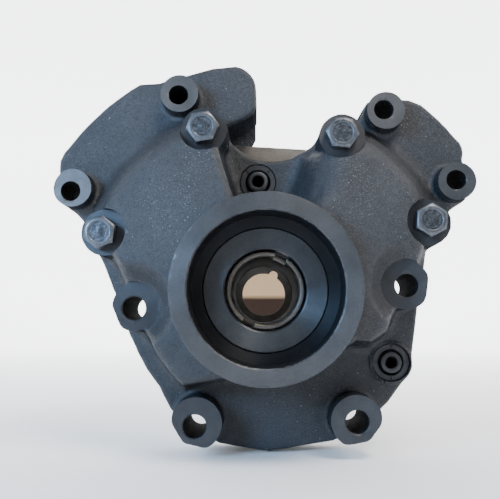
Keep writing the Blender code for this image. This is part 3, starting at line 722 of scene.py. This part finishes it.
def finish_piece(thing, finishes, body=PUMP, replaces=(), degrees=38.0):
    """Give a piece its materials, its ride and the nodes it stands for."""
    for name in finishes:
        thing.data.materials.append(MATERIALS[name])
    smooth(thing, degrees)
    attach(thing, body)
    if replaces:
        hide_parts(*replaces)


# ---------------------------------------------------------------- the two castings
def face_data(mesh):
    """Each face's middle as x, z and depth in millimetres, and its normal's part along Y."""
    count = len(mesh.polygons)
    centre = np.empty(count * 3, dtype=np.float32)
    normal = np.empty(count * 3, dtype=np.float32)
    mesh.polygons.foreach_get("center", centre)
    mesh.polygons.foreach_get("normal", normal)
    centre, normal = centre.reshape(-1, 3) / MM, normal.reshape(-1, 3)
    return centre[:, 0], centre[:, 2], centre[:, 1] + JOINT, normal[:, 1]


def paint(thing, finishes, regions):
    """Each face gets the finish of the last region that holds it, or else the first finish."""
    kind = np.zeros(len(thing.data.polygons), dtype=np.int32)
    for name, region in regions:
        kind[region] = finishes.index(name)
    thing.data.polygons.foreach_set("material_index", kind)


def build_housing(step):
    corners, quads = surface_of(housing, (-123, -96, -3), (123, 134, 109), step)
    thing = mesh_object("housing_casting", corners, quads)
    x, z, d, facing = face_data(thing.data)
    radius = np.hypot(x, z)

    def on_face(depth, cx, cz, size):
        return (np.abs(d - depth) < 0.4) & (disc(x, z, cx, cz, size) < 0)

    regions = [
        ("ring", (radius < RING_R + 0.3) & (d < SEAL_FLOOR + 2) & (radius > SEAL_BORE_R - 0.2)),
        ("bore", (radius < SEAL_BORE_R + 0.6) & (d > 0.6) & (d < JOINT - 1)),
    ]
    # The two left wing bosses get a brighter face: wear, together with painted light from the left.
    for finish, centre in zip(("bright_boss", "bright_boss", "ring", "ring"), WING_BOSSES):
        regions.append((finish, on_face(WING_BOSS_FACE, *centre, WING_BOSS_R + 0.3)))
    for _, centre, size, _ in LOW_BOSSES:
        regions.append(("boss", on_face(LOW_BOSS_FACE, *centre, size + 1.2)))
    for centre in PADS:
        regions.append(("boss", on_face(PAD_FACE, *centre, PAD_R + 0.7)))
    holes = [(cx, cz, M10_HOLE_R + 0.4) for cx, cz in WING_HOLES + COVER_BOLTS]
    holes += [(*hole, LOW_HOLE_R + 0.4) for hole, _, _, _ in LOW_BOSSES]
    for cx, cz, size in holes + [(cx, cz, 7.6) for cx, cz, _ in DOWELS]:
        # Hole walls: near black, painted shade inside the holes.
        regions.append(("hole", (disc(x, z, cx, cz, size) < 0) & (np.abs(facing) < 0.5)))
    for depth in (JOINT, REAR_END):
        regions.append(("rear", (facing > 0.7) & (np.abs(d - depth) < 0.4)))
    finishes = ("cast", "ring", "boss", "bore", "bright_boss", "rear", "hole")
    paint(thing, finishes, regions)
    finish_piece(thing, finishes, replaces=("pump_housing",))


def build_rear_cover(step):
    corners, quads = surface_of(rear_cover, (-112, -76, 64), (112, 110, 109), step)
    thing = mesh_object("rear_cover_casting", corners, quads)
    x, z, d, facing = face_data(thing.data)
    radius = np.hypot(x, z)
    regions = (
        ("rear", (radius < SPIGOT_R + 0.4) & (d > COVER_STEP + 0.5)),
        ("rear", d < COVER_FRONT + 1),
        # The cover's bore: oily, painted near black as shade.
        ("oily_shaded_bore", (radius < 26.5) & (np.abs(facing) < 0.6)),
    )
    finishes = ("cover", "rear", "oily_shaded_bore")
    paint(thing, finishes, regions)
    finish_piece(thing, finishes, replaces=("rear_cover",))


# ---------------------------------------------------------------- turned and extruded pieces
def turned(name, profile, steps=128, centre=(0.0, 0.0)):
    """A ring turned about a line along the drive axis; profile is (depth, radius), closed."""
    profile = np.array(profile)
    angles = 2 * math.pi * np.arange(steps) / steps
    corners = []
    for a in angles:
        for depth, radius in profile:
            corners.append((centre[0] + radius * math.cos(a), centre[1] + radius * math.sin(a), depth))
    count = len(profile)
    faces = []
    for i in range(steps):
        j = (i + 1) % steps
        for k in range(count):
            m = (k + 1) % count
            faces.append((i * count + k, i * count + m, j * count + m, j * count + k))
    thing = mesh_object(name, np.array(corners), np.array(faces))
    face_outwards(thing)
    return thing


def face_outwards(thing):
    bm = bmesh.new()
    bm.from_mesh(thing.data)
    bmesh.ops.recalc_face_normals(bm, faces=bm.faces)
    bm.to_mesh(thing.data)
    bm.free()


def prism(name, outline, front, back):
    bm = bmesh.new()
    near, far = (
        [bm.verts.new((x * MM, (d - JOINT) * MM, z * MM)) for x, z in outline] for d in (front, back)
    )
    bm.faces.new(near)
    bm.faces.new(list(reversed(far)))
    for i in range(len(outline)):
        j = (i + 1) % len(outline)
        bm.faces.new((near[i], far[i], far[j], near[j]))
    bmesh.ops.recalc_face_normals(bm, faces=bm.faces)
    mesh = bpy.data.meshes.new(name)
    bm.to_mesh(mesh)
    bm.free()
    thing = bpy.data.objects.new(name, mesh)
    bpy.context.scene.collection.objects.link(thing)
    return thing


def applied(thing):
    """The object with its modifiers applied to its mesh."""
    bpy.context.view_layer.update()
    seen = thing.evaluated_get(bpy.context.evaluated_depsgraph_get())
    mesh = bpy.data.meshes.new_from_object(seen)
    thing.modifiers.clear()
    thing.data = mesh
    return thing


def carve(thing, tools, operation="DIFFERENCE"):
    for tool in tools:
        modifier = thing.modifiers.new(tool.name, "BOOLEAN")
        modifier.operation = operation
        modifier.solver = "EXACT"
        modifier.object = tool
    applied(thing)
    for tool in tools:
        bpy.data.objects.remove(tool)
    return thing


def bevelled(thing, width, segments=2, degrees=30.0):
    modifier = thing.modifiers.new("edge", "BEVEL")
    modifier.width = width * MM
    modifier.segments = segments
    modifier.limit_method = "ANGLE"
    modifier.angle_limit = math.radians(degrees)
    return applied(thing)


def circle(cx, cz, radius, steps, turn=0.0):
    return [
        (cx + radius * math.cos(math.radians(turn + 360 * i / steps)),
         cz + radius * math.sin(math.radians(turn + 360 * i / steps)))
        for i in range(steps)
    ]


def spokes(turn, count):
    """Unit vectors outwards and sideways, evenly round the drive axis."""
    for k in range(count):
        a = math.radians(turn + 360 / count * k)
        yield k, Vector((math.cos(a), math.sin(a))), Vector((-math.sin(a), math.cos(a)))


def build_bolt(index, centre, turn):
    """A hexagon bolt: chamfered head on a washer face, generic raised dots and dashes, plain shank."""
    under = PAD_FACE - 0.3
    top = under - BOLT_HEAD
    hexagon = circle(*centre, BOLT_FLATS / math.sqrt(3), 6, turn)
    head = prism(f"cover_bolt_detail_{index}", hexagon, top, under - 0.5)
    outer = [(top - 4, 7.3), (top - 4, 13.0), (top + 1.9, 13.0), (top + 1.9, 10.3)]
    outer += [(top + 0.15, 7.45), (top, 7.1)]
    cone = turned(f"bolt_cone_{index}", outer, 64, centre)
    inner = [(top - 3, 0.02), (top - 3, 5.9), (top + 0.02, 5.9), (top + 0.28, 5.5), (top + 0.28, 0.02)]
    dish = turned(f"bolt_dish_{index}", inner, 48, centre)
    carve(head, (cone, dish))
    bevelled(head, 0.35, 2, 25)
    washer = prism(f"bolt_washer_{index}", circle(*centre, 7.6, 48), under - 0.7, under)
    shank = prism(f"bolt_shank_{index}", circle(*centre, 4.9, 32), under - 1.0, 80.0)
    marks = []
    for k, out, side in spokes(turn + 20, 6):
        middle = Vector(centre) + out * 4.1
        if k % 3 == 0:
            outline = circle(*middle, 0.8, 12)
        else:
            dash = ((-0.4, -1.4), (0.4, -1.4), (0.4, 1.4), (-0.4, 1.4))
            outline = [tuple(middle + out * u + side * v) for u, v in dash]
        marks.append(prism(f"bolt_mark_{index}_{k}", outline, top + 0.02, top + 0.6))
    carve(head, (washer, shank, *marks), "UNION")
    x, z, d, facing = face_data(head.data)
    regions = (
        # The head's side faces take the dark finish as painted shade round the head.
        ("dark", np.abs(facing) < 0.12),
        ("bolt_edge", (facing < -0.12) & (facing > -0.985)),
        ("bolt_edge", (facing < -0.985) & (disc(x, z, *centre, 5.3) < 0) & (d < top + 0.15)),
    )
    finishes = ("bolt", "bolt_edge", "dark")
    paint(head, finishes, regions)
    finish_piece(head, finishes, replaces=(f"cover_bolt_{index}",), degrees=30)


def build_dowel(index, cx, cz, face):
    """A hollow dowel, closed at its far end, with the staked seat that holds it."""
    back = 84.0 if index == 1 else JOINT - 1.0
    front = face - 2.0
    profile = [(front + 0.5, 3.4), (front, 3.9), (front, 5.3), (front + 0.25, 5.8)]
    profile += [(front + 0.9, DOWEL_R), (face + 3.5, DOWEL_R), (face + 4.0, 7.0), (face + 9.0, 7.0)]
    profile += [(face + 9.5, DOWEL_R), (back, DOWEL_R), (back, 0.02)]
    profile += [(back - 2.0, 0.02), (back - 2.0, 3.4)]
    tube = turned(f"dowel_detail_{index}", profile, 64, (cx, cz))
    finish_piece(tube, ("boss",), replaces=(f"dowel_sleeve_{index}",))
    collar = [(face + 1.5, 7.3), (face + 0.5, 7.3), (face + 0.2, 7.6)]
    collar += [(face + 0.2, 10.2), (face + 0.5, 10.45), (face + 1.5, 10.45)]
    seat = turned(f"dowel_seat_{index}", collar, 96, (cx, cz))
    middle = Vector((cx, cz))
    marks = []
    for k, out, side in spokes(45 if index == 1 else 0, 4):
        slot = ((7.0, 0.45), (DOWEL_SEAT_R, 0.45), (DOWEL_SEAT_R, -0.45), (7.0, -0.45))
        outline = [tuple(middle + out * u + side * v) for u, v in slot]
        marks.append(prism(f"stake_{index}_{k}", outline, face - 1, face + 0.9))
    carve(seat, marks)
    finish_piece(seat, ("boss",), degrees=30)


def build_bearing_ring():
    front, back = SEAL_FLOOR, BEARING_BACK - 0.3
    profile = [(front + 0.7, 22.5), (front, 23.2), (front, 33.4), (front + 0.6, 34.0)]
    ring = turned("bearing_ring_detail", profile + [(back, 34.0), (back, 22.5)], 160)
    finish_piece(ring, ("bearing",), replaces=("front_bearing_ring",), degrees=25)


def build_sleeve():
    """The slotted drive sleeve: chamfered mouth, a shallow groove inside, two drive slots."""
    front, back = SLEEVE_FRONT, SLEEVE_BACK
    bore = SLEEVE_BORE_R
    profile = [(front + 1.1, bore), (front, bore + 1.0), (front, SLEEVE_R - 0.5)]
    profile += [(front + 0.5, SLEEVE_R), (back, SLEEVE_R), (back, bore), (front + 4.2, bore)]
    profile += [(front + 4.0, bore + 0.5), (front + 2.8, bore + 0.5), (front + 2.6, bore)]
    sleeve = turned("drive_sleeve_detail", profile, 144)
    slots = []
    for index, angle in enumerate((65.0, 242.0)):
        a = math.radians(angle)
        out, side = Vector((math.cos(a), math.sin(a))), Vector((-math.sin(a), math.cos(a))) * 3.6
        corners = (out * 14 + side, out * 26 + side, out * 26 - side, out * 14 - side)
        slots.append(prism(f"slot_{index}", [tuple(c) for c in corners], front - 5, front + 13))
    carve(sleeve, slots)
    bevelled(sleeve, 0.18, 2, 40)
    x, z, d, facing = face_data(sleeve.data)
    radius = np.hypot(x, z)
    slant = np.abs(facing)
    regions = (
        ("sleeve_edge", (slant > 0.3) & (slant < 0.95) & (d < front + 1.2)),
        # The sleeve's bore: oily, painted near black as shade.
        ("oily_shaded_bore", (radius < bore + 0.6) & (d > front + 1.2)),
    )
    finishes = ("sleeve", "sleeve_edge", "oily_shaded_bore")
    paint(sleeve, finishes, regions)
    finish_piece(sleeve, finishes, "drive_rotor", ("drive_sleeve",), 28)


def build_o_ring(name, node, centre, radius, depth, section):
    profile = [
        (depth + section * math.sin(a), radius + section * math.cos(a))
        for a in np.linspace(0, 2 * math.pi, 17)[:-1]
    ]
    ring = turned(name, profile, 128, centre)
    finish_piece(ring, ("rubber",), replaces=(node,), degrees=60)


def dress_kept_nodes():
    """Inner CAD pieces keep their exact shape and get a small bevel and a real finish."""
    finishes = {
        "drive_gear": "gear",
        "ring_gear": "gear",
        "crescent": "bronze",
        "crescent_pin_1": "gear",
        "crescent_pin_2": "gear",
        "front_side_plate": "bronze",
        "rear_side_plate": "bronze",
        # The bush's bore: oily, painted near black as shade.
        "rear_bearing_bush": "oily_shaded_bore",
        "sleeve_retaining_ring": "dark",
    }
    for node, key in finishes.items():
        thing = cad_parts[node]
        for slot in thing.material_slots:
            slot.material = MATERIALS[key]
        edge = thing.modifiers.new("edge", "BEVEL")
        edge.width = 0.12 * MM
        edge.segments = 1
        edge.limit_method = "ANGLE"
        edge.angle_limit = math.radians(35)


# ---------------------------------------------------------------- stage, light, camera
def backdrop_material():
    """Pale, with a soft glow that grows to the back and a warm patch straight behind the bore."""
    material = bpy.data.materials.new("pale_backdrop")
    material.use_nodes = True
    tree = material.node_tree

    def node(kind, inputs, **settings):
        made = tree.nodes.new(kind)
        for key, value in settings.items():
            setattr(made, key, value)
        for key, value in inputs.items():
            if isinstance(value, bpy.types.NodeSocket):
                tree.links.new(value, made.inputs[key])
            else:
                made.inputs[key].default_value = value
        return made.outputs

    def ranged(value, low, high, start, end):
        inputs = {"Value": value, "From Min": low, "From Max": high, "To Min": start, "To Max": end}
        return node("ShaderNodeMapRange", inputs)["Result"]

    def mixed(factor, a, b):
        inputs = {"Factor": factor, "A": a, "B": b}
        return node("ShaderNodeMix", inputs, data_type="RGBA")["Result"]

    place = tree.nodes.new("ShaderNodeTexCoord").outputs["Object"]
    split = node("ShaderNodeSeparateXYZ", {"Vector": place})
    y, z = split["Y"], split["Z"]
    squeeze = (1.0, 0.3, 1.0)
    centre = (0.017, 1.385 * squeeze[1], 0.041)
    squeezed = node("ShaderNodeVectorMath", {0: place, 1: squeeze}, operation="MULTIPLY")
    inputs = {0: squeezed["Vector"], 1: centre}
    distance = node("ShaderNodeVectorMath", inputs, operation="DISTANCE")["Value"]
    patch = ranged(distance, 0.13, 0.17, 1.0, 0.0)
    outside = ranged(patch, 0.0, 1.0, 1.0, 0.0)
    upper = ranged(z, 0.026, 0.04, 0.0, 1.0)
    warm = mixed(upper, (0.03, 0.02, 0.016, 1), (0.36, 0.25, 0.15, 1))
    behind = ranged(y, -0.9, -0.3, 0.0, 1.0)
    pale = mixed(behind, (0.25, 0.25, 0.25, 1), (0.85, 0.85, 0.85, 1))
    glow = ranged(y, 0.0, 1.2, 0.05, 3.4)
    strength = node("ShaderNodeMath", {0: glow, 1: outside}, operation="MULTIPLY")["Value"]

    surface = tree.nodes["Principled BSDF"]
    surface.inputs["Roughness"].default_value = 0.9
    surface.inputs["Specular IOR Level"].default_value = 0.0
    surface.inputs["Emission Color"].default_value = (0.97, 0.98, 1.0, 1)
    tree.links.new(mixed(patch, pale, warm), surface.inputs["Base Color"])
    tree.links.new(strength, surface.inputs["Emission Strength"])
    return material


def build_stage():
    """A round floor that curves up into a wall all the way round."""
    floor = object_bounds()[0].z - 0.0006
    flat, bend, wall = 1.0, 0.6, 2.2
    profile = [(0.35, 0.0), (0.7, 0.0), (flat, 0.0)]
    for a in np.linspace(0.15, math.pi / 2, 9):
        profile.append((flat + bend * math.sin(a), bend - bend * math.cos(a)))
    profile.append((flat + bend, wall))
    count = 64
    turns = [(math.cos(a), math.sin(a)) for a in 2 * math.pi * np.arange(count) / count]
    bm = bmesh.new()
    rings = []
    for radius, height in profile:
        rings.append([bm.verts.new((radius * c, radius * s, floor + height)) for c, s in turns])
    bm.faces.new(rings[0])
    for inner, outer in zip(rings, rings[1:]):
        for i in range(count):
            bm.faces.new((inner[i - 1], outer[i - 1], outer[i], inner[i]))
    for face in bm.faces:
        face.smooth = True
    mesh = bpy.data.meshes.new("backdrop")
    bm.to_mesh(mesh)
    bm.free()
    mesh.materials.append(backdrop_material())
    backdrop = bpy.data.objects.new("backdrop", mesh)
    bpy.context.scene.collection.objects.link(backdrop)


def area_light(name, place, target, size, power, colour):
    data = bpy.data.lights.new(name, "AREA")
    data.shape = "DISK"
    data.size = size
    data.energy = power
    data.color = colour
    lamp = bpy.data.objects.new(name, data)
    lamp.location = place
    lamp.rotation_euler = (Vector(target) - Vector(place)).to_track_quat("-Z", "Y").to_euler()
    bpy.context.scene.collection.objects.link(lamp)


def build_lights():
    world = bpy.data.worlds.new("studio")
    bpy.context.scene.world = world
    world.use_nodes = True
    background = world.node_tree.nodes["Background"]
    background.inputs["Color"].default_value = (0.9, 0.92, 0.95, 1)
    background.inputs["Strength"].default_value = 0.03
    middle = (0, -0.03, 0.02)
    area_light("window_left", (-0.52, -0.56, 0.22), middle, 0.3, 8.6, (0.35, 0.62, 1.0))
    area_light("softbox_above", (0.26, -0.42, 0.75), middle, 0.4, 8.5, (1.0, 0.93, 0.86))
    area_light("rear", (0.2, 0.9, 0.6), middle, 0.5, 1.0, (1, 0.98, 0.95))


def build_camera():
    data = bpy.data.cameras.new("camera")
    data.sensor_width = 36.0
    data.lens = 42.6
    data.shift_y = 0.0435
    camera = bpy.data.objects.new("camera", data)
    camera.location = (-0.00495, -0.3679, -0.01221)
    camera.rotation_mode = "XYZ"
    camera.rotation_euler = (math.radians(90 + 4.0), 0.0, math.radians(0.62))
    bpy.context.scene.collection.objects.link(camera)
    bpy.context.scene.camera = camera


def build_pump():
    step = 1.1
    build_housing(step)
    build_rear_cover(step * 1.2)
    for index, (centre, turn) in enumerate(zip(COVER_BOLTS, BOLT_TURNS), 1):
        build_bolt(index, centre, turn)
    for index, (cx, cz, face) in enumerate(DOWELS, 1):
        build_dowel(index, cx, cz, face)
    build_bearing_ring()
    build_sleeve()
    build_o_ring("spigot_ring_detail", "spigot_o_ring", (0, 0), SPIGOT_R - 0.9, SPIGOT_GROOVE, 1.2)
    port = PRESSURE[2]
    build_o_ring("pressure_seal_detail", "pressure_port_seal", port, PORT_SEAL_R, JOINT - 0.5, 1.2)
    dress_kept_nodes()


build_pump()
build_stage()
build_lights()
build_camera()
